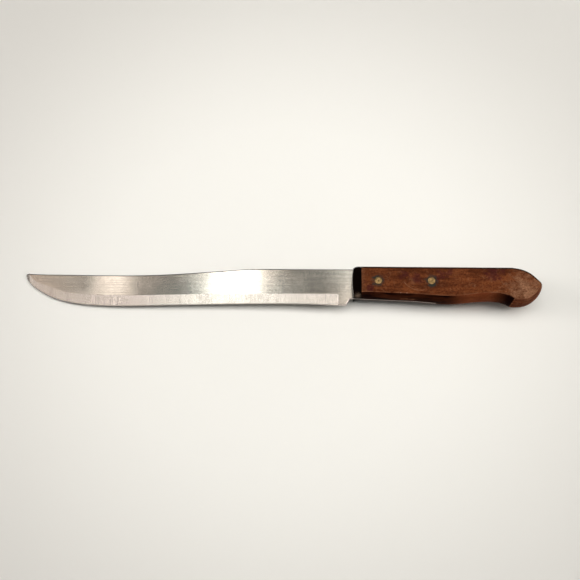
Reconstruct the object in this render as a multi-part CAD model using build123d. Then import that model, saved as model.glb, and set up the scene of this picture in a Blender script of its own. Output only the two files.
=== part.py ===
from build123d import *

import math
import os

# A carving knife, lying on its side as it rests on a table.
# Every piece is drawn in the knife's own directions. X runs from the tip of the blade
# to the butt of the handle and is zero at the front of the handle. Y runs from the edge
# to the spine and is zero on the line of the rivets. Z runs through the thickness and
# is zero in the middle of the steel. The last step lays the finished knife on the table.

# Blade: one stamped stainless blank, ground on both sides down to the edge
blade_length = 215.9
stock_thickness = 1.6
edge_thickness = 0.3
spine_rise = 9.9
spine_straight = 58.0
tip_rise = 5.6
tip_nose = 2.0
edge_drop = 16.1
bevel_drop = 8.8
plunge_setback = 9.0
plunge_radius = 1.7
plunge_lead = 0.8
heel_drop = 14.5
heel_length = 4.7
heel_radius = 0.9
neck_length = 2.0
neck_radius = 0.4

# Tang: the half tang in one piece with the blade, ground flush with the handle's underside
tang_length = 60.0
tang_exit_setback = 6.0
tang_exit_drop = 12.7
tang_end_drop = 6.0
tang_radius = 5.0

# Handle: one piece of hardwood behind a moulded collar, shaped and sanded as one
handle_length = 121.6
handle_thickness = 17.0
handle_depth = 24.4
handle_rise = 11.35
handle_fall = 0.3
front_rise = 9.7
front_drop = 10.1
front_edge_rise = 8.0
front_edge_drop = 9.6
front_bulge = 0.2
front_bow = 0.8
crown = 2.9
nose_length = 4.2
back_allowance = 0.5
collar_length = 5.2

# Rivets: two brass compression rivets, each a headed tube and a headed pin pressed into it
front_rivet_x = 15.9
rear_rivet_setback = 10.2
rivet_head_radius = 2.38
rivet_head_height = 1.2
rivet_tube_radius = 1.6
rivet_pin_radius = 1.2
rivet_pin_tip = 3.0
rivet_tube_floor = 2.0
rivet_dimple_radius = 0.7
rivet_dimple_depth = 0.15

# Clearances, and one overrun for every cut
kerf_gap = 0.05
tang_hole_gap = 0.2
wood_hole_gap = 0.04
rivet_gap = 0.02
overrun = 20.0

# Spine between its straight part and the tip: shares of blade_length and of spine_rise
spine_shares = (
    (0.375, 0.880),
    (0.480, 0.705),
    (0.595, 0.550),
    (0.740, 0.492),
    (0.880, 0.520),
)

# Cutting edge from the tip to the heel: shares of blade_length and of edge_drop
edge_shares = (
    (0.9775, -0.155),
    (0.9537, -0.372),
    (0.9208, -0.607),
    (0.8550, -0.868),
    (0.7800, -0.975),
    (0.7050, -1.000),
    (0.5820, -0.958),
    (0.4000, -0.893),
    (0.2200, -0.857),
    (0.1350, -0.866),
)

# Top of the ground bevel, opposite the points of the edge: shares of blade_length and of bevel_drop
bevel_shares = (
    (0.9775, 0.218),
    (0.9487, -0.132),
    (0.9134, -0.463),
    (0.8530, -0.860),
    (0.7800, -0.975),
    (0.7050, -1.000),
    (0.5820, -0.950),
    (0.4000, -0.850),
    (0.2200, -0.803),
    (0.1350, -0.787),
)

# Outline of the handle, each row with the inward way to the edge of the flat side:
# shares of handle_length and of handle_depth, then shares of crown along X and Y.
# The last row stands in the allowance above the back.
underside_shares = (
    (0.060, -0.427, 0.00, 0.90),
    (0.126, -0.440, 0.00, 1.00),
    (0.241, -0.463, 0.00, 1.00),
    (0.357, -0.491, 0.00, 1.03),
    (0.477, -0.533, 0.00, 1.05),
    (0.562, -0.516, 0.00, 1.02),
    (0.643, -0.470, 0.00, 1.07),
    (0.713, -0.450, 0.00, 1.12),
    (0.773, -0.476, 0.00, 1.20),
)
beak_share = (0.825, -0.584, 0.62, 1.00)
butt_lower_shares = (
    (0.862, -0.600, 0.20, 0.96),
    (0.912, -0.560, -0.08, 0.80),
    (0.955, -0.430, -0.45, 0.74),
    (0.984, -0.258, -0.75, 0.42),
)
butt_share = (1.000, -0.037, -0.93, -0.05)
butt_upper_shares = (
    (0.986, 0.080, -0.85, -0.50),
    (0.950, 0.262, -0.66, -0.80),
    (0.914, 0.372, -0.42, -0.97),
    (0.822, 0.463, 0.00, -1.00),
)

half_stock = stock_thickness / 2
half_edge = edge_thickness / 2
half_handle = handle_thickness / 2
half_kerf = half_stock + kerf_gap


# Blade

def along(shares, drop):
    """Places on the blade, from shares of its length and of a rise or drop."""
    return [(-x * blade_length, y * drop) for x, y in shares]


def heel_line():
    """The unground heel, from the end of the grind to the front of the handle."""
    places = [
        (-plunge_setback, -heel_drop),
        (-heel_length, -heel_drop),
        (-neck_length, -front_drop),
        (0, -front_drop),
    ]
    return FilletPolyline(*places, radius=[heel_radius, neck_radius])


def spine_line():
    """The straight spine, then its long drop to the tip."""
    straight = Line((0, spine_rise), (-spine_straight, spine_rise))
    tip_top = (tip_nose - blade_length, tip_rise)
    places = [straight @ 1, *along(spine_shares, spine_rise), tip_top]
    return straight, Spline(*places, tangents=[(-1, 0), (-1, 0.05)])


def edge_section(z):
    """The outline of the blade at the cutting edge."""
    straight, drop = spine_line()
    tip_front = (-blade_length, tip_rise - tip_nose / 2)
    nose = Spline(drop @ 1, tip_front, tangents=[drop % 1, (0.1, -1)])
    plunge_start = (-plunge_setback - plunge_lead - plunge_radius / 2, -heel_drop - edge_thickness)
    plunge_foot = (-plunge_setback - plunge_lead, -heel_drop - edge_thickness)
    edge = Spline(nose @ 1, *along(edge_shares, edge_drop), plunge_start)
    plunge = Line(plunge_start, plunge_foot)
    step = Line(plunge_foot, (-plunge_setback, -heel_drop))
    return closed_section([straight, drop, nose, edge, plunge, step, heel_line()], z)


def flat_section(z):
    """The outline of the blade's flat side, which ends at the top of the ground bevel."""
    straight, drop = spine_line()
    tip_front = (tip_nose / 2 - blade_length, tip_rise - tip_nose / 3)
    nose = Spline(drop @ 1, tip_front, tangents=[drop % 1, (-0.7, -0.7)])
    corner_y = bevel_shares[-1][1] * bevel_drop
    corner_start = (-plunge_setback - plunge_lead / 2 - plunge_radius, corner_y)
    corner_end = (-plunge_setback - plunge_lead / 2, corner_y - plunge_radius)
    bevel = Spline(nose @ 1, *along(bevel_shares, bevel_drop), corner_start)
    corner = Spline(corner_start, corner_end, tangents=[(1, 0), (0, -1)])
    plunge = Line(corner_end, (-plunge_setback, -heel_drop))
    return closed_section([straight, drop, nose, bevel, corner, plunge, heel_line()], z)


def closed_section(lines, z):
    """A closed outline at height z, joined up at the front of the handle."""
    front = Line(lines[-1] @ 1, lines[0] @ 0)
    edges = [edge for line in [*lines, front] for edge in line.edges()]
    return Pos(0, 0, z) * Wire(edges)


def tang_plate(start, margin):
    """The tang's outline before it is ground flush with the underside of the handle."""
    slope = (tang_exit_drop - tang_end_drop) / tang_exit_setback
    reach = handle_depth
    foot = tang_length - (reach - tang_end_drop) / slope
    low = -reach
    places = [
        (start, spine_rise),
        (tang_length, spine_rise),
        (tang_length, -tang_end_drop),
        (foot, low),
        (start, low),
    ]
    plate = make_face(Polyline(*places, close=True))
    corners = plate.vertices().sort_by(Axis.X)[-2:]
    plate = fillet(corners, tang_radius)
    return offset(plate, margin) if margin else plate


def rivet_places():
    """The two rivets, by name."""
    return {"front": front_rivet_x, "rear": tang_length - rear_rivet_setback}


def make_blade():
    """The blade and its half tang, one piece of steel."""
    sections = [
        flat_section(-half_stock),
        edge_section(-half_edge),
        edge_section(half_edge),
        flat_section(half_stock),
    ]
    blade = Solid.make_loft(sections, ruled=True)
    tang_face = tang_plate(0, 0) & make_face(outline(0, 0))
    tang = extrude(tang_face, half_stock, both=True)
    steel = blade + tang
    for x in rivet_places().values():
        steel -= Pos(x, 0) * Cylinder(rivet_tube_radius + tang_hole_gap, handle_thickness)
    return steel


# Handle and collar

def on_handle(row, inward):
    """A place on the handle's outline, moved inward by a share of the crown."""
    x, y, inward_x, inward_y = row
    along_x = x * handle_length + inward * inward_x * crown
    return along_x, y * handle_depth + inward * inward_y * crown


def outline(inward, z):
    """The side view of the handle, full at inward 0 and at the flat side's edge at inward 1.

    It stands above the back by an allowance, which the round of the back takes off.
    """
    front_x = inward * front_bulge
    front_top = (front_x, front_rise + inward * (front_edge_rise - front_rise))
    front_foot = (front_x, inward * (front_drop - front_edge_drop) - front_drop)
    front_middle = (front_x - front_bow, (front_top[1] + front_foot[1]) / 2)
    nose_top = (nose_length + front_x, handle_rise + back_allowance - inward * crown)
    beak = on_handle(beak_share, inward)
    butt = on_handle(butt_share, inward)
    under = [on_handle(row, inward) for row in underside_shares]
    lower = [on_handle(row, inward) for row in butt_lower_shares]
    upper = [on_handle(row, inward) for row in butt_upper_shares]
    top = Line(upper[-1], nose_top)
    lines = [
        ThreePointArc(front_top, front_middle, front_foot),
        Spline(front_foot, *under, beak),
        Spline(beak, *lower, butt, tangents=[(1, -0.3), (0.1, 1)]),
        Spline(butt, *upper, tangents=[(-0.3, 1), (-1, 0.08)]),
        top,
        Spline(nose_top, front_top, tangents=[(-1, 0), (-0.8, -0.6)]),
    ]
    edges = [edge for line in lines for edge in line.edges()]
    return Pos(0, 0, z) * Wire(edges)


def back_round():
    """The round bar that the straight back is sanded to, sloping with the back."""
    radius = (half_handle**2 + crown**2) / (2 * crown)
    fall = math.degrees(math.atan2(handle_fall, handle_length))
    bar = Rot(0, 90, 0) * Cylinder(radius, handle_length + overrun)
    return Pos(0, handle_rise - radius) * Rot(0, 0, -fall) * Pos(handle_length / 2, 0) * bar


def handle_blank():
    """The whole handle, with flat sides and a crowned back and underside."""
    sections = [outline(1, -half_handle), outline(0, 0), outline(1, half_handle)]
    return Solid.make_loft(sections) & back_round()


def kerf():
    """The saw cut for the tang, open to the front and the underside."""
    return extrude(tang_plate(-overrun, kerf_gap), half_kerf, both=True)


def rivet_bore(x):
    """The stepped hole in the wood for one rivet."""
    head_radius = rivet_head_radius + rivet_gap
    bore = Cylinder(rivet_tube_radius + wood_hole_gap, handle_thickness + overrun)
    seat = half_handle - rivet_head_height
    sink = Cylinder(head_radius, overrun, align=(Align.CENTER, Align.CENTER, Align.MIN))
    return Pos(x, 0) * (bore + Pos(0, 0, seat) * sink + Pos(0, 0, -seat - overrun) * sink)


def slab(start, length):
    """A block that takes the stretch of the handle from start over a length."""
    block = Box(length, handle_depth + overrun, handle_thickness + overrun)
    return Pos(start + length / 2, 0) * block


def make_collar(blank):
    """The moulded collar at the front of the handle."""
    return blank & slab(-overrun, overrun + collar_length) - kerf()


def make_handle(blank):
    """The wooden handle behind the collar."""
    wood = blank & slab(collar_length, handle_length + overrun)
    wood -= kerf()
    for x in rivet_places().values():
        wood -= rivet_bore(x)
    return wood


# Rivets

def rod(radius, low, high):
    """A round bar along Z."""
    align = (Align.CENTER, Align.CENTER, Align.MIN)
    return Pos(0, 0, low) * Cylinder(radius, high - low, align=align)


def make_rivet_tube():
    """The half of the rivet that shows on the upper side, a head on a blind tube."""
    seat = half_handle - rivet_head_height
    head = rod(rivet_head_radius, seat, half_handle)
    head -= rod(rivet_dimple_radius, half_handle - rivet_dimple_depth, half_handle + overrun)
    tube = rod(rivet_tube_radius, rivet_gap - seat, seat)
    bore = rod(rivet_pin_radius + rivet_gap, -seat - overrun, seat - rivet_tube_floor)
    return head + tube - bore


def make_rivet_pin():
    """The half of the rivet that is pressed in from the lower side."""
    seat = half_handle - rivet_head_height
    head = rod(rivet_head_radius, -half_handle, -seat)
    head -= rod(rivet_dimple_radius, -half_handle - overrun, rivet_dimple_depth - half_handle)
    return head + rod(rivet_pin_radius, -seat, seat - rivet_tube_floor - rivet_pin_tip)


# The knife on the table: it rests on the tip and on the collar's lower front edge, where that bows out

def laid_down(pieces):
    """Tips the knife on to its tip and puts its box over the origin, on the table."""
    tip_reach = blade_length - tip_nose / 2 + front_bulge - front_bow
    tilt = math.degrees(math.atan2(half_handle - half_stock, tip_reach))
    turned = {name: Rot(0, -tilt, 0) * piece for name, piece in pieces.items()}
    box = Compound(turned.values()).bounding_box()
    place = Pos(-box.center().X, -box.center().Y, -box.min.Z)
    return {name: place * piece for name, piece in turned.items()}


def make_pieces():
    """Every piece of the knife, by name."""
    blank = handle_blank()
    pieces = {
        "blade": make_blade(),
        "collar": make_collar(blank),
        "handle": make_handle(blank),
    }
    for name, x in rivet_places().items():
        pieces[name + "_rivet_tube"] = Pos(x, 0) * make_rivet_tube()
        pieces[name + "_rivet_pin"] = Pos(x, 0) * make_rivet_pin()
    return laid_down(pieces)


os.makedirs("parts", exist_ok=True)
for node, shape in make_pieces().items():
    export_step(shape, f"parts/{node}.step")
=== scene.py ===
import logging
import math
from dataclasses import dataclass
from enum import Enum, IntEnum

import bmesh
import bpy
import numpy as np
from mathutils import Matrix, Quaternion, Vector


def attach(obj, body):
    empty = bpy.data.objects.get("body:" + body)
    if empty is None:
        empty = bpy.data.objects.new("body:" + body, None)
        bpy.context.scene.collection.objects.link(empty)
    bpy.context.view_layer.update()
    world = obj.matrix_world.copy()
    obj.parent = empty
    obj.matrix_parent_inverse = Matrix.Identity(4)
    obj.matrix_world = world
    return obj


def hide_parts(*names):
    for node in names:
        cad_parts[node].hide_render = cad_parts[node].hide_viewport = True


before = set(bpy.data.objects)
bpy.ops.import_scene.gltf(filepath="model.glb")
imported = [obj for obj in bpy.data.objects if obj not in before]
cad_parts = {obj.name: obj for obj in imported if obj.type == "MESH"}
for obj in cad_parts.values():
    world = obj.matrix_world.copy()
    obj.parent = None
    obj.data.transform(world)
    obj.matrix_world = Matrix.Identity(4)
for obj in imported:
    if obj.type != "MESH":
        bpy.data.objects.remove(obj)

log = logging.getLogger("carving_knife")

Place = tuple[float, float]
Triple = tuple[float, float, float]
Row = tuple[float, float, float, float]
Node = bpy.types.Node
Layers = list[tuple[Node, str]]

MM = 0.001
TOUCHING = 0.001  # Points nearer than this, in mm, become one
RIVET_PLACES = (15.9, 49.8)


# Where the knife lies


@dataclass(frozen=True)
class Lay:
    """How the knife lies on the table: its own mm against the row frame's metres."""

    origin: Triple = (47.121, 2.378, 8.516)
    tip_down: float = 2.0578

    def matrix(self) -> Matrix:
        """Returns the matrix from the knife's own mm to the row frame's metres."""
        turn = Matrix.Rotation(math.radians(-self.tip_down), 4, "Y")
        return Matrix.Scale(MM, 4) @ Matrix.Translation(self.origin) @ turn


LAY = Lay()


# Nodes


class Op(Enum):
    """The nodes that repeat: the type, and the setting that makes it what it is.

    LEVELS and SMOOTH take a value, where it starts and ends, and what they give there.
    NEAR takes a value, a place and a reach. BLEND takes a share at 0 and colours at 6 and 7.
    NOISE takes a place, 0, a scale, a detail and a roughness.
    """

    SUM = ("ShaderNodeMath", "operation", "ADD")
    DIFFERENCE = ("ShaderNodeMath", "operation", "SUBTRACT")
    PRODUCT = ("ShaderNodeMath", "operation", "MULTIPLY")
    SCALED_SUM = ("ShaderNodeMath", "operation", "MULTIPLY_ADD")
    RATIO = ("ShaderNodeMath", "operation", "DIVIDE")
    REMAINDER = ("ShaderNodeMath", "operation", "MODULO")
    LEAST = ("ShaderNodeMath", "operation", "MINIMUM")
    MOST = ("ShaderNodeMath", "operation", "MAXIMUM")
    NEAR = ("ShaderNodeMath", "operation", "COMPARE")
    UNDER = ("ShaderNodeMath", "operation", "LESS_THAN")
    SIZE = ("ShaderNodeMath", "operation", "ABSOLUTE")
    LEVELS = ("ShaderNodeMapRange", "interpolation_type", "LINEAR")
    SMOOTH = ("ShaderNodeMapRange", "interpolation_type", "SMOOTHSTEP")
    BLEND = ("ShaderNodeMix", "data_type", "RGBA")
    SCALED = ("ShaderNodeVectorMath", "operation", "MULTIPLY")
    DISTANCE = ("ShaderNodeVectorMath", "operation", "DISTANCE")
    FACING = ("ShaderNodeVectorMath", "operation", "DOT_PRODUCT")
    NOISE = ("ShaderNodeTexNoise", "noise_dimensions", "3D")


class Nodes:
    """A node tree as it is drawn."""

    def __init__(self, tree: bpy.types.NodeTree) -> None:
        """Starts with an empty tree.

        Args:
            tree: The tree that gets the nodes.
        """
        tree.nodes.clear()
        self.tree = tree

    def add(self, kind: Op | str, inputs: list | dict = (), **settings: object) -> Node:
        """Adds a node, with its settings and its links.

        Args:
            kind: What kind of node.
            inputs: What each input gets, in order, or by name or number: a value, a socket, a node,
                which gives its first live output, or a list of these for an input that takes many.
            settings: The node's own settings.

        Returns:
            The new node.
        """
        if isinstance(kind, Op):
            kind, option, choice = kind.value
            settings[option] = choice
        node = self.tree.nodes.new(kind)
        for name, value in settings.items():
            setattr(node, name, value)
        for key, value in inputs.items() if isinstance(inputs, dict) else enumerate(inputs):
            for source in value if isinstance(value, list) else [value]:
                if isinstance(source, Node):
                    source = next(output for output in source.outputs if output.enabled)
                if isinstance(source, bpy.types.NodeSocket):
                    self.tree.links.new(source, node.inputs[key])
                else:
                    node.inputs[key].default_value = source
        return node

    def chain(self, kind: Op, *parts: object) -> Node:
        """Adds nodes that take in one part after the other, such as a product of many.

        Args:
            kind: What kind of nodes.
            parts: The parts, each a node or a socket.

        Returns:
            The last node.
        """
        result, *others = parts
        for part in others:
            result = self.add(kind, [result, part])
        return result


class Shaping(Nodes):
    """Geometry nodes that shape a line of edges, with their sizes as named inputs."""

    def __init__(self, name: str, *sizes: str) -> None:
        """Starts the tree with its inputs and its output.

        Args:
            name: The tree's name.
            sizes: The names of its sizes.
        """
        super().__init__(bpy.data.node_groups.new(name, "GeometryNodeTree"))
        for socket, way, kind in (
            ("Geometry", "INPUT", "Geometry"),
            *((size, "INPUT", "Float") for size in sizes),
            ("Finish", "INPUT", "Material"),
            ("Geometry", "OUTPUT", "Geometry"),
        ):
            self.tree.interface.new_socket(socket, in_out=way, socket_type="NodeSocket" + kind)
        self.sizes = self.add("NodeGroupInput").outputs

    def grid(self, columns: object, rows: object) -> list[Node]:
        """Adds a grid, to be wrapped round a form.

        Args:
            columns: How many columns it has, a number or a node.
            rows: How many rows it has.

        Returns:
            The grid, the number of each point's column and that of its row.
        """
        grid = self.add("GeometryNodeMeshGrid", {"Vertices X": columns, "Vertices Y": rows})
        index = self.add("GeometryNodeInputIndex")
        share = self.add(Op.RATIO, [index, rows])
        column = self.add("ShaderNodeMath", [share], operation="FLOOR")
        return [grid, column, self.add(Op.REMAINDER, [index, rows])]

    def on_line(self, value: Node, point: Node) -> Node:
        """Reads a value at a point of the line of edges.

        Args:
            value: What is read.
            point: The number of the point.

        Returns:
            The value there.
        """
        inputs = {"Geometry": self.sizes["Geometry"], "Value": value, "Index": point}
        return self.add("GeometryNodeSampleIndex", inputs, data_type="FLOAT_VECTOR")

    def rivet_points(self, height: object, side: float, places: tuple) -> Node:
        """Adds a point for each rivet, on one side of the knife.

        Args:
            height: How far the points are from the middle of the steel.
            side: 1 for the upper side, -1 for the lower one.
            places: Where the rivets are along the knife.

        Returns:
            The points.
        """
        level = self.add(Op.PRODUCT, [height, side])
        start, end = (self.add("ShaderNodeCombineXYZ", {0: x, 2: level}) for x in places)
        ends = {"Count": 2, "Start Location": start, "Offset": end}
        return self.add("GeometryNodeMeshLine", ends, mode="END_POINTS")

    def close(self, shape: Node) -> None:
        """Ends the tree.

        Args:
            shape: The finished form.
        """
        whole = self.add("GeometryNodeRealizeInstances", [shape])
        dressed = {"Geometry": whole, "Material": self.sizes["Finish"]}
        self.add("NodeGroupOutput", [self.add("GeometryNodeSetMaterial", dressed)])

    def run(self, name: str, mesh: bpy.types.Mesh, values: dict[str, object]) -> bpy.types.Object:
        """Makes a piece from a line of edges.

        Args:
            name: The piece's name.
            mesh: The line of edges.
            values: What goes into each named input.

        Returns:
            The piece, with a plain mesh.
        """
        piece = link_piece(name, mesh)
        modifier = piece.modifiers.new(self.tree.name, "NODES")
        modifier.node_group = self.tree
        for socket in self.tree.interface.items_tree:
            if socket.name in values:
                modifier[socket.identifier] = values[socket.name]
        return plain_mesh(piece)


# Helpers


def linear(colour: str) -> Row:
    """Turns an sRGB hex colour into a linear one.

    Args:
        colour: Six hex digits.

    Returns:
        The linear red, green, blue and alpha.
    """
    shares = [int(colour[i : i + 2], 16) / 255 for i in (0, 2, 4)]
    red, green, blue = [c / 12.92 if c <= 0.04045 else ((c + 0.055) / 1.055) ** 2.4 for c in shares]
    return red, green, blue, 1.0


def plain_mesh(piece: bpy.types.Object) -> bpy.types.Object:
    """Replaces a piece's mesh and modifiers by the mesh that they make.

    Args:
        piece: An object with modifiers, already linked to the scene.

    Returns:
        The same object with a plain mesh and no modifiers.
    """
    evaluated = piece.evaluated_get(bpy.context.evaluated_depsgraph_get())
    mesh = bpy.data.meshes.new_from_object(evaluated)
    piece.modifiers.clear()
    piece.data = mesh
    return piece


def true_flats(piece: bpy.types.Object) -> None:
    """Weights a piece's normals by area, so that rounds don't shade its flats.

    Args:
        piece: The piece, with its sharp edges marked.
    """
    piece.modifiers.new("true_flats", "WEIGHTED_NORMAL").keep_sharp = True
    plain_mesh(piece)


def lay_down(piece: bpy.types.Object, sharp_angle: float) -> None:
    """Brings a piece that was made in the knife's own mm to where the knife lies.

    Args:
        piece: The piece.
        sharp_angle: From how many degrees on an edge is sharp.
    """
    piece.data.transform(LAY.matrix())
    piece.data.shade_smooth()
    piece.data.set_sharp_from_angle(angle=math.radians(sharp_angle))


def link_piece(name: str, data: bpy.types.ID) -> bpy.types.Object:
    """Puts a mesh, a light or a camera into the scene.

    Args:
        name: The object's name.
        data: What it shows.

    Returns:
        The new object.
    """
    piece = bpy.data.objects.new(name, data)
    bpy.context.scene.collection.objects.link(piece)
    return piece


def finish_piece(piece: bpy.types.Object, nodes: list[str]) -> None:
    """Fixes a piece to the knife's body and says which nodes it stands for.

    Args:
        piece: The finished piece.
        nodes: The CAD nodes that it replaces.
    """
    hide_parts(*nodes)
    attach(piece, "root")
    log.info("%s: %d faces, stands for %s", piece.name, len(piece.data.polygons), ", ".join(nodes))


# Finishes


class Drawing(Nodes):
    """A material's nodes, with the place in the knife's own mm and the way the surface faces."""

    def __init__(self, material: bpy.types.Material) -> None:
        """Starts with the nodes that give the place.

        Args:
            material: The material that is drawn.
        """
        material.use_nodes = True
        super().__init__(material.node_tree)
        coordinates = self.add("ShaderNodeTexCoord").outputs
        self.frame_place, self.normal = coordinates["Object"], coordinates["Normal"]
        turned_back = {
            "Vector": self.frame_place,
            "Location": LAY.matrix().inverted().translation,
            "Rotation": (0, math.radians(LAY.tip_down), 0),
            "Scale": (1 / MM, 1 / MM, 1 / MM),
        }
        self.place = self.add("ShaderNodeMapping", turned_back)
        self.x, self.y, self.z = self.add("ShaderNodeSeparateXYZ", [self.place]).outputs
        self.flat = self.add("ShaderNodeCombineXYZ", [self.x, self.y])

    def layered(self, colour: str | Node, *layers: tuple) -> Node:
        """Lays colours over a colour, one after the other.

        Args:
            colour: The lowest colour.
            layers: The share and the colour of each layer.

        Returns:
            The colour that shows.
        """
        below = linear(colour) if isinstance(colour, str) else colour
        for share, shade in layers:
            below = self.add(Op.BLEND, {0: share, 6: below, 7: linear(shade)})
        return below


@dataclass(frozen=True)
class Finish:
    """A surface finish: its named values, and how it is drawn with procedural nodes."""

    name: str

    def looks(self, draw: Drawing) -> dict[str, object]:
        """Draws the finish.

        Args:
            draw: The material's nodes.

        Returns:
            The shader's inputs; "Normal" is the relief's strength, depth and height.
        """
        raise NotImplementedError

    def build(self) -> bpy.types.Material:
        """Makes the material.

        Returns:
            The material, drawn.
        """
        material = bpy.data.materials.new(self.name)
        draw = Drawing(material)
        looks = self.looks(draw)
        relief = dict(zip(("Strength", "Distance", "Height"), looks["Normal"]))
        looks["Normal"] = draw.add("ShaderNodeBump", relief)
        shader = draw.add("ShaderNodeBsdfPrincipled", looks)
        draw.add("ShaderNodeOutputMaterial", {"Surface": shader})
        return material


class Brushing(Enum):
    """Which way the abrasive went over the steel: the highlight's turn, and the lines' scale."""

    ALONG = (0.25, (0.03, 2.2, 1.0))
    ACROSS = (0.0, (2.0, 0.08, 1.0))


@dataclass(frozen=True)
class BrushedSteel(Finish):
    """Stainless steel under a fine belt, which draws lights out into bands across its lines."""

    brushing: Brushing
    cool: str = "A9A79F"
    warm: str = "B3A89C"
    roughness: float = 0.172
    anisotropy: float = 0.75
    half_edge: float = 0.15
    point_tone: float = 1.0

    def looks(self, draw: Drawing) -> dict[str, object]:
        """Draws the finish.

        Args:
            draw: The material's nodes.

        Returns:
            The shader's inputs.
        """
        turn, line_scale = self.brushing.value
        place = draw.place
        # Cloudy staining, 60 mm across: stainless that has been washed often is warm in places
        clouds = draw.add(Op.NOISE, [place, 0, 1 / 60, 0.0])
        warmth = draw.add(Op.SMOOTH, [clouds, 0.3, 0.7])
        tint = draw.layered(self.cool, (warmth, self.warm))
        # Belt lines: real ones are 0.05 mm apart, drawn at 0.2 to 0.5 mm to hold in a picture
        stretched = draw.add(Op.SCALED, [place, line_scale])
        lines = draw.add(Op.NOISE, [stretched, 0, 1.0, 4.0])
        line_tone = draw.add(Op.LEVELS, [lines, 0.3, 0.7, 0.86, 1.1])
        # Water stains about 1.5 mm across
        stains = draw.add(Op.NOISE, [place, 0, 0.7, 6.0, 0.75])
        stain_tone = draw.add(Op.LEVELS, [stains, 0.3, 0.72, 1.1, 0.84])
        # The honed edge, some 0.4 mm wide, is steeper than the grind; its darkening is painted
        # shade, for the dark line along the cutting edge
        height = draw.add(Op.SIZE, [draw.z])
        hone_end, grind_start = self.half_edge + 0.02, self.half_edge + 0.05
        honed_edge_shade = draw.add(Op.LEVELS, [height, hone_end, grind_start, 0.25, 1.0])
        # Painted shade: a darker band some 3 mm wide in the corner against the collar, where the
        # collar's shadow and dark reflection fall on the steel
        collar_shade = draw.add(Op.SMOOTH, [draw.x, -4.0, -0.8, 1.0, 0.8])
        # The point, some 2 mm long, is darkened: painted shade that dulls the glint at the tip
        point = draw.add(Op.SMOOTH, [draw.x, -214.2, -212.4, self.point_tone, 1.0])
        tone = draw.chain(Op.PRODUCT, line_tone, point, stain_tone, collar_shade, honed_edge_shade)
        # Smears, 14 mm across, from a cloth: they dull the shine a little
        smears = draw.add(Op.NOISE, [place, 0, 1 / 14, 2.0])
        clear, smeared = self.roughness - 0.02, self.roughness + 0.03
        lengthwise = draw.add("ShaderNodeTangent", direction_type="UV_MAP", uv_map="lengthwise")
        return {
            "Base Color": draw.add(Op.SCALED, [tint, tone]),
            "Roughness": draw.add(Op.LEVELS, [smears, 0.35, 0.7, clear, smeared]),
            "Normal": (0.03, 0.00001, lines),
            "Tangent": lengthwise,
            "Metallic": 1.0,
            "Anisotropic": self.anisotropy,
            "Anisotropic Rotation": turn,
        }


@dataclass(frozen=True)
class SawnSteel(Finish):
    """The stamped and tumbled edge of the blank, brighter than its sides: its pale colour is a
    painted highlight, for the heel's bright rim.
    """

    name: str = "stamped_steel_edge"
    # Pale colour: a painted highlight for the bright rim of the heel
    colour: str = "F2E4DC"
    roughness: float = 0.34
    spread: float = 0.06

    def looks(self, draw: Drawing) -> dict[str, object]:
        """Draws the finish.

        Args:
            draw: The material's nodes.

        Returns:
            The shader's inputs.
        """
        # Shear marks of the stamping, 0.4 mm apart along the edge
        marks = draw.add(Op.NOISE, [draw.place, 0, 2.5, 3.0])
        tone = draw.add(Op.LEVELS, [marks, 0.3, 0.7, 0.82, 1.05])
        # The heel keeps the pale colour, a painted highlight; the spine is darkened, painted shade
        # for the dark line along it; the tang's edge is darker
        spine = draw.add(Op.LEVELS, [draw.y, -3.0, 1.0, 1.0, 0.13])
        tang = draw.add(Op.LEVELS, [draw.x, -0.6, 0.6, 1.0, 0.4])
        tone = draw.chain(Op.PRODUCT, tone, spine, tang)
        dull, bright = self.roughness + self.spread, self.roughness - self.spread
        return {
            "Base Color": draw.add(Op.SCALED, [linear(self.colour)[:3], tone]),
            "Roughness": draw.add(Op.LEVELS, [marks, 0.3, 0.7, dull, bright]),
            "Normal": (0.25, 0.00003, marks),
            "Metallic": 1.0,
        }


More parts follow.
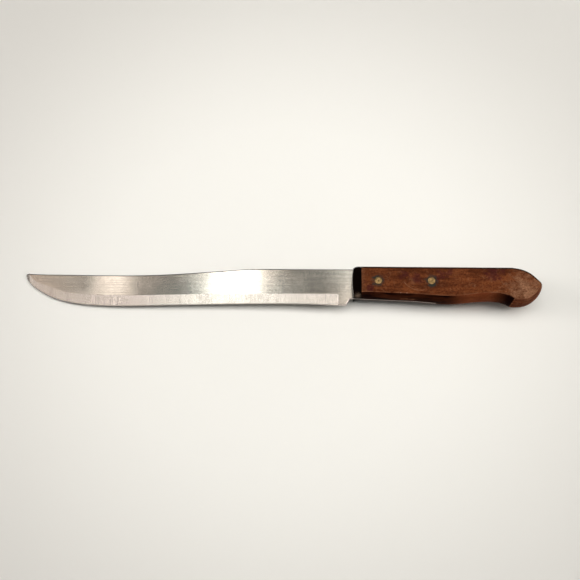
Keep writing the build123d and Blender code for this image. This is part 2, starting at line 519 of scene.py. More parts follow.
@dataclass(frozen=True)
class WornHardwood(Finish):
    """Old oiled hardwood: dark, reddish, fine pored, stained at its rivets and worn at its ends."""

    name: str = "oiled_hardwood"
    heart: str = "502815"
    figure: str = "744024"
    purple: str = "421B1C"
    pore: str = "2A0F08"
    worn: str = "6E4630"
    rubbed: str = "8C6046"
    speck: str = "A07460"
    bleached: str = "90664C"
    stain: str = "2E3430"
    # Dark grime, with painted shade on the underside, in the hollow before the beak and along the
    # butt's edge
    grime_and_shade: str = "140302"
    # Painted light: a lighter red laid over the underside
    underside_painted_light: str = "9C4E2E"
    streak: str = "3A1A12"
    underside_light_share: float = 0.3
    front: float = 5.2
    scratch_middle: Triple = (42.4, 5.5, 0.0)
    scratch_radius: float = 11.9
    scratch_reach: Place = (32.5, 45.0)
    scrape: Place = (35.5, 3.4)
    specks: Place = (30.0, 33.9)
    bleached_place: Triple = (110.0, -6.0, 0.0)
    water_marks: tuple[Place, ...] = ((38.5, 2.5), (58.0, 4.0), (90.0, 4.0), (10.5, -4.0))
    water_mark_squeeze: float = 1.6
    beak_line: float = 109.1
    beak_lean: float = 0.62

    def looks(self, draw: Drawing) -> dict[str, object]:
        """Draws the finish.

        Args:
            draw: The material's nodes.

        Returns:
            The shader's inputs.
        """
        place = draw.place
        # Growth figure: bands about 4 mm wide that run some 20 mm along the handle
        figure_place = draw.add(Op.SCALED, [place, (0.2, 1.0, 1.0)])
        bent = {0: figure_place, 2: 0.25, 3: 7.0, 4: 0.62, "Distortion": 0.5}
        figure = draw.add(Op.NOISE, bent)
        # Pores: real ones are 0.15 mm wide and 3 mm long, drawn 0.35 mm wide to hold in a picture
        pore_place = draw.add(Op.SCALED, [place, (0.25, 1.0, 1.0)])
        pores = draw.add(Op.NOISE, [pore_place, 0, 2.8, 2.0])
        pored = draw.add(Op.LEVELS, [pores, 0.54, 0.7, 0.0, 0.6])
        # Wear in ragged patches 4 mm across: on the butt, and on the strip behind the collar
        ragged = {0: place, 2: 0.22, 3: 6.0, 4: 0.68, "Distortion": 0.6}
        wear = draw.add(Op.NOISE, ragged)
        from_middle = draw.add(Op.DISTANCE, [draw.flat, self.bleached_place])
        at_butt = draw.add(Op.LEVELS, [from_middle, 1.0, 19.0, 0.14, -0.22])
        butt_wear = draw.add(Op.SUM, [wear, at_butt])
        # Mottling: end-grain flecks of about 0.8 mm
        flecks = draw.add(Op.NOISE, [place, 0, 0.9, 4.0, 0.7])
        mottling = draw.add(Op.LEVELS, [flecks, 0.3, 0.7, 0.6, 1.4])
        strip_start, strip_end = self.front + 0.4, self.front + 3.4
        clean = draw.layered(
            self.heart,
            (draw.add(Op.SMOOTH, [figure, 0.36, 0.66]), self.figure),
            (draw.add(Op.SMOOTH, [draw.x, strip_start, strip_end, 0.55, 0.0]), self.worn),
            (draw.add(Op.SMOOTH, [butt_wear, 0.28, 0.74, 0.0, 0.95]), self.bleached),
            (pored, self.pore),
            (self.water_marked(draw), self.purple),
        )
        # Across the corner of the beak, which its rubbed edge and the grime and painted shade
        # behind it follow
        beak_way = draw.add(Op.SCALED_SUM, [draw.y, -self.beak_lean, draw.x])
        colour = draw.layered(
            draw.add(Op.SCALED, [clean, mottling]),
            *self.grimed_and_shaded(draw, figure, beak_way),
            *self.paled(draw, beak_way),
            *self.stained(draw, wear),
        )
        height = draw.add(Op.DIFFERENCE, [1.0, pored])
        return {
            "Base Color": colour,
            "Roughness": draw.add(Op.LEVELS, [wear, 0.3, 0.7, 0.38, 0.62]),
            "Normal": (0.35, 0.00008, height),
            "Specular IOR Level": 0.007,
        }

    def water_marked(self, draw: Drawing) -> Node:
        """Turns ragged patches purplish, where water has got into the wood.

        Args:
            draw: The material's nodes.

        Returns:
            Their share.
        """
        # Ragged marks about 12 mm across
        patches = draw.add(Op.NOISE, [draw.place, 0, 0.16, 5.0, 0.65])
        squeeze = self.water_mark_squeeze
        squeezed = draw.add(Op.SCALED, [draw.flat, (1.0, squeeze, 0.0)])
        middles = [(x, squeeze * y, 0) for x, y in self.water_marks]
        marks = [draw.add(Op.DISTANCE, [squeezed, middle]) for middle in middles]
        nearest = draw.chain(Op.LEAST, *marks)
        reach = draw.add(Op.LEVELS, [nearest, 2.0, 12.0, 0.18, -0.12])
        marked = draw.add(Op.SUM, [patches, reach])
        return draw.add(Op.SMOOTH, [marked, 0.52, 0.68, 0.0, 0.7])

    def grimed_and_shaded(self, draw: Drawing, figure: Node, beak_way: Node) -> Layers:
        """Darkens the underside, the back and the butt with grime and painted shade, and lifts the
        underside with painted light.

        Args:
            draw: The material's nodes.
            figure: The growth figure, which makes the grime uneven.
            beak_way: The place across the corner of the beak.

        Returns:
            The share and the colour of each layer.
        """
        # Grime and painted shade on the underside, which faces away from the light
        under = draw.add(Op.FACING, [draw.normal, (0, -1, 0)])
        below = draw.add(Op.SMOOTH, [under, 0.15, 0.6])
        # The darkening fades out by 76 mm and starts again at 84 mm, as painted shade in the hollow
        # before the beak
        uneven = draw.add(Op.LEVELS, [figure, 0.3, 0.65, 0.6, 1.2])
        front_half = draw.add(Op.SMOOTH, [draw.x, 58.0, 76.0, 0.9, 0.0])
        hollow = draw.add(Op.SMOOTH, [draw.x, 84.0, 99.0])
        line = self.beak_line
        before_beak = draw.add(Op.LEVELS, [beak_way, line - 0.4, line, 1.0, 0.0])
        front = draw.add(Op.PRODUCT, [front_half, uneven])
        along = draw.add(Op.MOST, [front, draw.add(Op.PRODUCT, [hollow, before_beak])])
        # The rim of the butt shows the growth rings end on, as dark lines along it
        shares = zip((draw.x, draw.y, draw.z), (0.09, 0.09, 0.9))
        rim_place = draw.add(
            "ShaderNodeCombineXYZ", [draw.add(Op.PRODUCT, [*pair]) for pair in shares]
        )
        rings = draw.add(Op.NOISE, [rim_place, 0, 1.0, 3.0, 0.6])
        ring_lines = draw.add(Op.LEVELS, [rings, 0.4, 0.6, 0.15, 0.8])
        at_butt = draw.add(Op.LEVELS, [draw.x, 96.0, 100.0])
        # The back and the end of the butt are darkened too: painted shade along their edge
        behind = draw.add(Op.FACING, [draw.normal, (0.5, 0.87, 0)])
        back = draw.add(Op.SMOOTH, [behind, 0.15, 0.5, 0.0, 0.8])
        grime_and_shade = draw.add(Op.MOST, [draw.add(Op.PRODUCT, [below, along]), back])
        return [
            # Painted light on the underside
            (draw.add(Op.PRODUCT, [below, self.underside_light_share]), self.underside_painted_light),
            (draw.chain(Op.PRODUCT, ring_lines, at_butt, below), self.streak),
            (grime_and_shade, self.grime_and_shade),
        ]

    def paled(self, draw: Drawing, beak_way: Node) -> Layers:
        """Rubs the creases and the beak pale in patches, and chips the lower crease.

        Args:
            draw: The material's nodes.
            beak_way: The place across the corner of the beak.

        Returns:
            The share and the colour of each layer.
        """
        up = (LAY.matrix().to_3x3() @ Vector((0, 0, 1))).normalized()
        level = draw.add(Op.SIZE, [draw.add(Op.FACING, [draw.normal, up])])
        outside = draw.add(Op.LEVELS, [level, 0.8, 0.9])
        inside = draw.add(Op.LEVELS, [level, 0.985, 0.9999, 1.0, 0.0])
        lower = draw.add(Op.LEVELS, [draw.y, -1.0, 1.0, 1.0, 0.0])
        crease = draw.chain(Op.PRODUCT, outside, inside, lower)
        # Rubbed in patches about 3 mm long, and chipped in specks 0.5 mm wide
        patches = draw.add(Op.NOISE, [draw.place, 0, 0.35, 4.0, 0.7])
        patchy = draw.add(Op.LEVELS, [patches, 0.34, 0.66, 0.0, 0.55])
        chips = [draw.add(Op.NEAR, [draw.x, x, 0.25]) for x in self.specks]
        corner = draw.add(Op.NEAR, [beak_way, self.beak_line + 0.2, 0.45])
        steep = draw.add(Op.UNDER, [level, 0.9])
        rubbed = draw.chain(
            Op.MOST,
            draw.add(Op.PRODUCT, [crease, patchy]),
            draw.chain(Op.PRODUCT, corner, steep, lower, patchy),
            self.scratched(draw, patches),
            self.scraped(draw),
        )
        chipped = draw.add(Op.PRODUCT, [crease, draw.chain(Op.MOST, *chips)])
        return [(rubbed, self.rubbed), (chipped, self.speck)]

    def scratched(self, draw: Drawing, noise: Node) -> Node:
        """Draws one curved scratch on the flat side.

        Args:
            draw: The material's nodes.
            noise: The noise that makes it uneven.

        Returns:
            Its share.
        """
        distance = draw.add(Op.DISTANCE, [draw.flat, self.scratch_middle])
        start, end = self.scratch_reach
        return draw.chain(
            Op.PRODUCT,
            draw.add(Op.NEAR, [distance, self.scratch_radius, 0.22]),
            draw.add(Op.UNDER, [start, draw.x]),
            draw.add(Op.UNDER, [draw.x, end]),
            draw.add(Op.UNDER, [draw.y, 0.0]),
            draw.add(Op.LEVELS, [noise, 0.3, 0.7, 0.3, 0.85]),
        )

    def scraped(self, draw: Drawing) -> Node:
        """Draws a scrape on the underside, its fibres torn lengthwise.

        Args:
            draw: The material's nodes.

        Returns:
            Its share.
        """
        middle, height = self.scrape
        drawn = draw.add(Op.SCALED, [draw.place, (0.3, 1.0, 2.6)])
        fibres = draw.add(Op.NOISE, [drawn, 0, 1.0, 2.0])
        return draw.chain(
            Op.PRODUCT,
            draw.add(Op.NEAR, [draw.x, middle, 5.5]),
            draw.add(Op.NEAR, [draw.z, height, 0.9]),
            draw.add(Op.UNDER, [draw.y, -7.9]),
            draw.add(Op.LEVELS, [fibres, 0.48, 0.62, 0.0, 0.8]),
        )

    def stained(self, draw: Drawing, noise: Node) -> Layers:
        """Darkens the wood round each rivet, where the brass has stained it.

        Args:
            draw: The material's nodes.
            noise: The noise that makes the stain's border uneven.

        Returns:
            The share and the colour of each layer.
        """
        uneven = draw.add(Op.SCALED_SUM, [noise, 11.0, -5.5])
        layers = []
        for x in RIVET_PLACES:
            reach = draw.chain(Op.SUM, draw.add(Op.DISTANCE, [draw.flat, (x, 0, 0)]), uneven)
            layers.append((draw.add(Op.SMOOTH, [reach, 2.0, 4.8, 0.9, 0.0]), self.stain))
        return layers


@dataclass(frozen=True)
class BlackPlastic(Finish):
    """Polished black phenolic plastic, almost a mirror where hands haven't dulled it."""

    name: str = "polished_black_plastic"
    colour: str = "060201"
    dulled: str = "0A0403"
    # Grey of the painted reflection on the lower front corner
    paled: str = "86705F"
    reflection_place: Triple = (2.2, -9.4, 2.8)

    def looks(self, draw: Drawing) -> dict[str, object]:
        """Draws the finish.

        Args:
            draw: The material's nodes.

        Returns:
            The shader's inputs.
        """
        place = draw.place
        # Hand wear in patches about 3 mm across
        wear = draw.add(Op.NOISE, [place, 0, 0.35, 6.0, 0.6])
        worn = draw.add(Op.LEVELS, [wear, 0.4, 0.65])
        # A grey patch on the lower front corner, about 2 mm across: a painted reflection
        stretched = draw.add(Op.SCALED, [place, (0.8, 1.0, 0.5)])
        distance = draw.add(Op.DISTANCE, [stretched, self.reflection_place])
        frayed = draw.add(Op.NOISE, [place, 0, 2.2, 3.0, 0.7])
        uneven = draw.add(Op.SCALED_SUM, [frayed, 4.2, distance])
        painted_reflection = draw.add(Op.SMOOTH, [uneven, 1.9, 4.4, 0.9, 0.0])
        # Fine scuffs, 0.3 mm across
        scuffs = draw.add(Op.NOISE, [place, 0, 3.3, 2.0])
        return {
            "Base Color": draw.layered(self.colour, (worn, self.dulled), (painted_reflection, self.paled)),
            "Roughness": draw.add(Op.LEVELS, [worn, 0.0, 1.0, 0.14, 0.32]),
            "Normal": (0.12, 0.00003, scuffs),
            "Specular IOR Level": 0.005,
        }


@dataclass(frozen=True)
class TarnishedBrass(Finish):
    """Sanded brass under a thin brown tarnish, pale where the hand keeps it clean."""

    name: str = "tarnished_brass"
    clean: str = "8D7048"
    tarnish: str = "665432"
    dirt: str = "3A2A18"
    head_radius: float = 2.38

    def looks(self, draw: Drawing) -> dict[str, object]:
        """Draws the finish.

        Args:
            draw: The material's nodes.

        Returns:
            The shader's inputs.
        """
        # Tarnish in spots about 1 mm across
        spots = draw.add(Op.NOISE, [draw.place, 0, 0.9, 5.0, 0.6])
        tarnished = draw.add(Op.LEVELS, [spots, 0.42, 0.62])
        distances = [draw.add(Op.DISTANCE, [draw.flat, (x, 0, 0)]) for x in RIVET_PLACES]
        nearest = draw.chain(Op.LEAST, *distances)
        # Dirt packed in the dimple and along the rim
        dimple = draw.add(Op.SMOOTH, [nearest, 0.3, 0.9, 0.45, 0.0])
        rim_start = self.head_radius - 0.35
        rim = draw.add(Op.LEVELS, [nearest, rim_start, self.head_radius, 0.0, 0.7])
        dirty = draw.add(Op.MOST, [dimple, rim])
        return {
            "Base Color": draw.layered(self.clean, (tarnished, self.tarnish), (dirty, self.dirt)),
            "Roughness": draw.add(Op.LEVELS, [tarnished, 0.0, 1.0, 0.34, 0.52]),
            "Normal": (0.2, 0.00003, spots),
            "Metallic": 0.85,
        }


@dataclass(frozen=True)
class PaleTable(Finish):
    """A plain pale painted table top, with painted shade towards its edges."""

    name: str = "pale_table"
    colour: str = "FDFCF8"
    # Colour of the painted shade towards the table's edges
    outer: str = "DAD8D4"

    def looks(self, draw: Drawing) -> dict[str, object]:
        """Draws the finish.

        Args:
            draw: The material's nodes.

        Returns:
            The shader's inputs.
        """
        place = draw.frame_place
        # Paint texture, 8 mm across
        texture = draw.add(Op.NOISE, [place, 0, 125.0, 4.0])
        # Painted shade: darker towards the edges, from 0.08 to 0.3 m out, as under light from close
        # by
        distance = draw.add(Op.DISTANCE, [place, (0, 0, 0)])
        edge_falloff_shade = draw.add(Op.SMOOTH, [distance, 0.08, 0.3])
        return {
            "Base Color": draw.layered(self.colour, (edge_falloff_shade, self.outer)),
            "Roughness": 0.75,
            "Normal": (0.05, 0.0002, texture),
        }


# Lines


class SmoothLine:
    """A smooth line through points: cubic between them, by chord length."""

    def __init__(self, points: list[Place], tangents: tuple[Place, Place] | None = None) -> None:
        """Finds the slope at each point that makes the line's curvature continuous.

        Args:
            points: The points that it passes through.
            tangents: Its direction at the first and last point, where they are set.
        """
        self.points = np.array(points, float)
        self.steps = steps = np.linalg.norm(np.diff(self.points, axis=0), axis=1)
        count = len(self.points)
        matrix = np.eye(count)
        right = np.zeros((count, 2))
        rates = np.diff(self.points, axis=0) / steps[:, None]
        for i in range(1, count - 1):
            matrix[i, i - 1 : i + 2] = (steps[i], 2 * (steps[i - 1] + steps[i]), steps[i - 1])
            right[i] = 3 * (steps[i] * rates[i - 1] + steps[i - 1] * rates[i])
        if tangents:
            right[0], right[-1] = (np.array(t) / np.linalg.norm(t) for t in tangents)
        else:
            # At its ends it follows the polynomial through the nearest four points
            times = np.concatenate([[0], np.cumsum(steps)])
            for end, near in ((0, slice(4)), (-1, slice(-4, None))):
                offsets = times[near] - times[end]
                right[end] = np.polyfit(offsets, self.points[near], len(offsets) - 1)[-2]
        self.slopes = np.linalg.solve(matrix, right)

    def sample(self, counts: list[int]) -> np.ndarray:
        """Samples the line, leaving out its last point.

        Args:
            counts: How many points each stretch between two given points gets.

        Returns:
            The sampled points.
        """
        samples = []
        for i, count in enumerate(counts):
            share = np.linspace(0, 1, count, endpoint=False)[:, None]
            step = self.steps[i]
            samples.append(
                (1 + 2 * share) * (1 - share) ** 2 * self.points[i]
                + share * (1 - share) ** 2 * step * self.slopes[i]
                + share**2 * (3 - 2 * share) * self.points[i + 1]
                + share**2 * (share - 1) * step * self.slopes[i + 1]
            )
        return np.concatenate(samples)


# Handle and collar


@dataclass
class CrownedGrip(Shaping):
    """The handle and the collar: one outline, which a crown draws in towards the flat sides."""

    length: float = 121.6
    depth: float = 24.4
    half_thickness: float = 8.5
    rise: float = 11.35
    fall: float = 0.3
    crown: float = 2.9
    crease_ease: float = 0.7
    crease_start: float = 0.78
    front_rise: float = 9.7
    front_drop: float = 10.1
    front_edge_rise: float = 8.0
    front_edge_drop: float = 9.6
    front_bulge: float = 0.2
    front_bow: float = 0.8
    nose_length: float = 4.2
    nose_allowance: float = 0.5
    collar_length: float = 5.2
    half_kerf: float = 0.85
    tang_length: float = 60.0
    tang_top: float = 9.95
    tang_end_drop: float = 6.0
    tang_slope: float = 1.1167
    wedge_inset: float = 0.3
    wedge_dip: float = 0.6
    seat_radius: float = 2.4
    seat_depth: float = 1.2
    rings: int = 27
    spacing: float = 1.1
    overrun: float = 20.0
    underside: tuple[Row, ...] = (
        (0.060, -0.427, 0.00, 0.90), (0.126, -0.440, 0.00, 1.00), (0.241, -0.463, 0.00, 1.00),
        (0.357, -0.491, 0.00, 1.03), (0.477, -0.533, 0.00, 1.05), (0.562, -0.516, 0.00, 1.02),
        (0.643, -0.470, 0.00, 1.07), (0.713, -0.450, 0.00, 1.12), (0.773, -0.476, 0.00, 1.20),
    )
    beak: Row = (0.825, -0.584, 0.62, 1.00)
    butt_lower: tuple[Row, ...] = (
        (0.862, -0.600, 0.20, 0.96), (0.912, -0.560, -0.08, 0.80), (0.955, -0.430, -0.45, 0.74),
        (0.984, -0.258, -0.75, 0.42),
    )
    butt: Row = (0.9999, -0.037, -0.93, -0.05)
    butt_upper: tuple[Row, ...] = (
        (0.986, 0.080, -0.85, -0.50), (0.950, 0.262, -0.66, -0.80), (0.914, 0.372, -0.42, -0.97),
        (0.822, 0.463, 0.00, -1.00),
    )

    def __post_init__(self) -> None:
        """Starts the nodes that shape the grip."""
        super().__init__("crowned_grip", "Half Thickness", "Ease", "Ease Share", "From", "To")
        self.way_in = self.add(
            "GeometryNodeInputNamedAttribute", {"Name": "inward"}, data_type="FLOAT_VECTOR"
        )
        self.far_in = self.add(Op.SUM, [1.0, self.sizes["Ease Share"]])

    def place(self, row: Row, inward: float) -> Place:
        """Finds a place on the outline.

        Args:
            row: Shares of length and depth, then shares of the crown along and up.
            inward: 0 on the full outline, 1 at the edge of the flat side.

        Returns:
            The place in mm.
        """
        x, y, inward_x, inward_y = row
        drawn_in = inward * self.crown
        return x * self.length + inward_x * drawn_in, y * self.depth + inward_y * drawn_in

    def lines(self, inward: float) -> list[SmoothLine]:
        """Draws the outline's lines, round the handle from its front.

        Args:
            inward: 0 for the full outline, 1 for the edge of the flat side.

        Returns:
            The lines in order.
        """
        front_x = inward * self.front_bulge
        top = (front_x, self.front_rise + inward * (self.front_edge_rise - self.front_rise))
        foot = (front_x, inward * (self.front_drop - self.front_edge_drop) - self.front_drop)
        middle = (front_x - self.front_bow, (top[1] + foot[1]) / 2)
        nose = (self.nose_length + front_x, self.rise + self.nose_allowance - inward * self.crown)
        under = [self.place(row, inward) for row in (*self.underside, self.beak)]
        lower = [self.place(row, inward) for row in (self.beak, *self.butt_lower, self.butt)]
        upper = [self.place(row, inward) for row in (self.butt, *self.butt_upper)]
        return [
            SmoothLine([top, middle, foot]),
            SmoothLine([foot, *under]),
            SmoothLine(lower, ((1, -0.3), (0.1, 1))),
            SmoothLine(upper, ((-0.3, 1), (-1, 0.08))),
            SmoothLine([upper[-1], nose]),
            SmoothLine([nose, top], ((-1, 0), (-0.8, -0.6))),
        ]

    def outline_mesh(self) -> bpy.types.Mesh:
        """Returns the full outline as a ring of edges, with the way inward at each point."""
        steps = [line.steps for line in self.lines(0)]
        counts = [[max(2, round(step / self.spacing)) for step in line] for line in steps]
        outer, inner = rings = [
            np.concatenate([line.sample(count) for line, count in zip(self.lines(inward), counts)])
            for inward in (0, 1)
        ]
        for inward, ring in enumerate(rings):
            back = self.rise - self.fall * ring[:, 0] / self.length - inward * self.crown
            ring[:, 1] = np.minimum(ring[:, 1], back)
        count = len(outer)
        mesh = bpy.data.meshes.new("handle_outline")
        edges = [(i, (i + 1) % count) for i in range(count)]
        mesh.from_pydata([(x, y, 0) for x, y in outer], edges, [])
        offsets = np.column_stack([inner - outer, np.zeros(count)]).astype(np.float32)
        inward = mesh.attributes.new("inward", "FLOAT_VECTOR", "POINT")
        inward.data.foreach_set("vector", offsets.ravel())
        return mesh

    def shape(self) -> None:
        """Adds the nodes that crown the outline and cut the kerf, the seats and the stretch."""
        skin = self.joined([self.swept_skin(), *self.flat_sides()], 2 * TOUCHING)
        cut = self.add(
            "GeometryNodeMeshBoolean",
            {"Mesh 1": skin, "Mesh 2": [*self.kerf(), self.seats()]},
            operation="DIFFERENCE",
            solver="EXACT",
        )
        kept = {"Mesh 2": [cut, self.stretch()]}
        self.close(
            self.add("GeometryNodeMeshBoolean", kept, operation="INTERSECT", solver="EXACT")
        )

    def joined(self, parts: list[Node], gap: float) -> Node:
        """Joins parts into one closed skin.

        Args:
            parts: The parts.
            gap: How far apart, in mm, points are that become one.

        Returns:
            The skin.
        """
        whole = self.add("GeometryNodeJoinGeometry", [parts])
        return self.add("GeometryNodeMergeByDistance", {"Geometry": whole, "Distance": gap})

    def swept_skin(self) -> Node:
        """Returns the outline swept through the thickness, drawn in by the crown."""
        half = self.sizes["Half Thickness"]
        count = self.add("GeometryNodeAttributeDomainSize", [self.sizes["Geometry"]])
        grid, column, row = self.grid(self.add(Op.SUM, [count, 1.0]), self.rings)
        point = self.add(Op.REMAINDER, [column, count])
        across = self.add(Op.LEVELS, [row, 0.0, self.rings - 1.0, -1.0, 1.0])
        reach = self.add(Op.SIZE, [across])
        # The crown is a parabola up to the crease, and the last rings round the crease
        crease = self.add(Op.DIFFERENCE, [half, self.sizes["Ease"]])
        height = self.add(Op.LEVELS, [reach, 0.0, self.crease_start, 0.0, crease])
        level = self.add(Op.RATIO, [height, half])
        drawn_in = self.add(Op.PRODUCT, [level, level])
        rounding = self.add(Op.LEVELS, [reach, self.crease_start, 1.0])
        profile = [
            self.add("ShaderNodeCombineXYZ", {0: inward, 2: up})
            for inward, up in ((drawn_in, height), (1.0, half), (self.far_in, half))
        ]
        while len(profile) > 1:
            profile = [
                self.add("ShaderNodeMix", {0: rounding, 4: before, 5: after}, data_type="VECTOR")
                for before, after in zip(profile, profile[1:])
            ]
        inward, _, up = self.add("ShaderNodeSeparateXYZ", profile).outputs
        on_outline = self.on_line(self.add("GeometryNodeInputPosition"), point)
        way_in = self.on_line(self.way_in, point)
        moved = self.add(
            "ShaderNodeVectorMath", [way_in, inward, on_outline], operation="MULTIPLY_ADD"
        )
        side = self.add("ShaderNodeMath", [across], operation="SIGN")
        lift = self.add("ShaderNodeCombineXYZ", {2: self.add(Op.PRODUCT, [up, side])})
        placed = {"Geometry": grid, "Position": moved, "Offset": lift}
        return self.add("GeometryNodeSetPosition", placed)

    def flat_sides(self) -> list[Node]:
        """Returns the lower and the upper flat side."""
        drawn_in = {0: self.way_in, "Scale": self.far_in}
        offset = self.add("ShaderNodeVectorMath", drawn_in, operation="SCALE")
        moved = {"Geometry": self.sizes["Geometry"], "Offset": offset}
        border = self.add("GeometryNodeSetPosition", moved)
        face = self.add("GeometryNodeFillCurve", [self.add("GeometryNodeMeshToCurve", [border])])
        sides = []
        for part, side in ((self.add("GeometryNodeFlipFaces", [face]), -1.0), (face, 1.0)):
            height = self.add(Op.PRODUCT, [self.sizes["Half Thickness"], side])
            lift = self.add("ShaderNodeCombineXYZ", {2: height})
            sides.append(self.add("GeometryNodeSetPosition", {"Geometry": part, "Offset": lift}))
        return sides

    def kerf(self) -> list[Node]:
        """Returns the saw cut for the tang: a box, and a wedge out through the underside."""
        width = 2 * self.half_kerf
        height = self.tang_top + self.tang_end_drop
        length = self.overrun + self.tang_length
        box = self.add("GeometryNodeMeshCube", {"Size": (length, height, width)})
        middle = (length / 2 - self.overrun, self.tang_top - height / 2, 0)
        foot = self.tang_length - (self.depth - self.tang_end_drop) / self.tang_slope
        high = self.wedge_inset - self.tang_end_drop
        end = self.tang_length - self.wedge_inset
        front = -self.overrun - 1
        low = -self.depth
        corners = ((front, low), (foot, low), (end, high - self.wedge_dip), (front, high))
        wedge = self.add(
            "GeometryNodeCurvePrimitiveQuadrilateral",
            {f"Point {i}": (*corner, 0) for i, corner in enumerate(corners, 1)},
            mode="POINTS",
        )
        face = self.add("GeometryNodeFillCurve", [wedge])
        sweep = {"Mesh": face, "Offset": (0, 0, 1), "Offset Scale": width, "Individual": False}
        prism = self.add("GeometryNodeExtrudeMesh", sweep)
        closed = self.joined([prism, self.add("GeometryNodeFlipFaces", [face])], TOUCHING)
        return [
            self.add("GeometryNodeTransform", {"Geometry": part, "Translation": place})
            for part, place in ((box, middle), (closed, (0, 0, -self.half_kerf)))
        ]

    def seats(self) -> Node:
        """Returns the cutters for the rivet heads, one copied to each rivet on both sides."""
        size = {"Vertices": 48, "Radius": self.seat_radius, "Depth": 2 * self.seat_depth}
        half = self.sizes["Half Thickness"]
        rows = [self.rivet_points(half, side, RIVET_PLACES) for side in (-1.0, 1.0)]
        points = self.add("GeometryNodeJoinGeometry", [rows])
        copied = {"Points": points, "Instance": self.add("GeometryNodeMeshCylinder", size)}
        copies = self.add("GeometryNodeInstanceOnPoints", copied)
        return self.add("GeometryNodeRealizeInstances", [copies])

    def stretch(self) -> Node:
        """Returns the block that keeps one stretch of the grip."""
        ends = [self.sizes["To"], self.sizes["From"]]
        middle = self.add(Op.RATIO, [self.add(Op.SUM, ends), 2.0])
        length, wide = self.add(Op.DIFFERENCE, ends), 2 * self.depth
        size = self.add("ShaderNodeCombineXYZ", [length, wide, wide])
        block = self.add("GeometryNodeMeshCube", {"Size": size})
        shift = self.add("ShaderNodeCombineXYZ", [middle])
        return self.add("GeometryNodeTransform", {"Geometry": block, "Translation": shift})

    def build(self) -> None:
        """Makes and dresses the wooden handle and the collar."""
        self.shape()
        front, seam, back = -self.overrun, self.collar_length, self.length + self.overrun
        for name, start, end, finish, slot, node in (
            ("hardwood_handle", seam, back, WornHardwood(), "handle_wood", "handle"),
            ("moulded_collar", front, seam, BlackPlastic(), "collar_plastic", "collar"),
        ):
            values = {
                "Half Thickness": self.half_thickness,
                "Ease": self.crease_ease,
                "Ease Share": self.crease_ease / self.crown,
                "From": start,
                "To": end,
                "Finish": finish.build(),
            }
            piece = self.run(name, self.outline_mesh(), values)
            lay_down(piece, 30)
            true_flats(piece)
            finish_piece(piece, [node])


# Blade


class Stretch(Enum):
    """How a stretch of the outline is finished: how much of its edge is eased, at both ends."""

    STAMPED = (1.0, 1.0)
    NOSE = (1.0, 0.0)
    GROUND = (0.0, 0.0)


class Surface(IntEnum):
    """The surfaces of the blade, numbered as its finishes are."""

    FLAT = 0
    BEVEL = 1
    RIM = 2


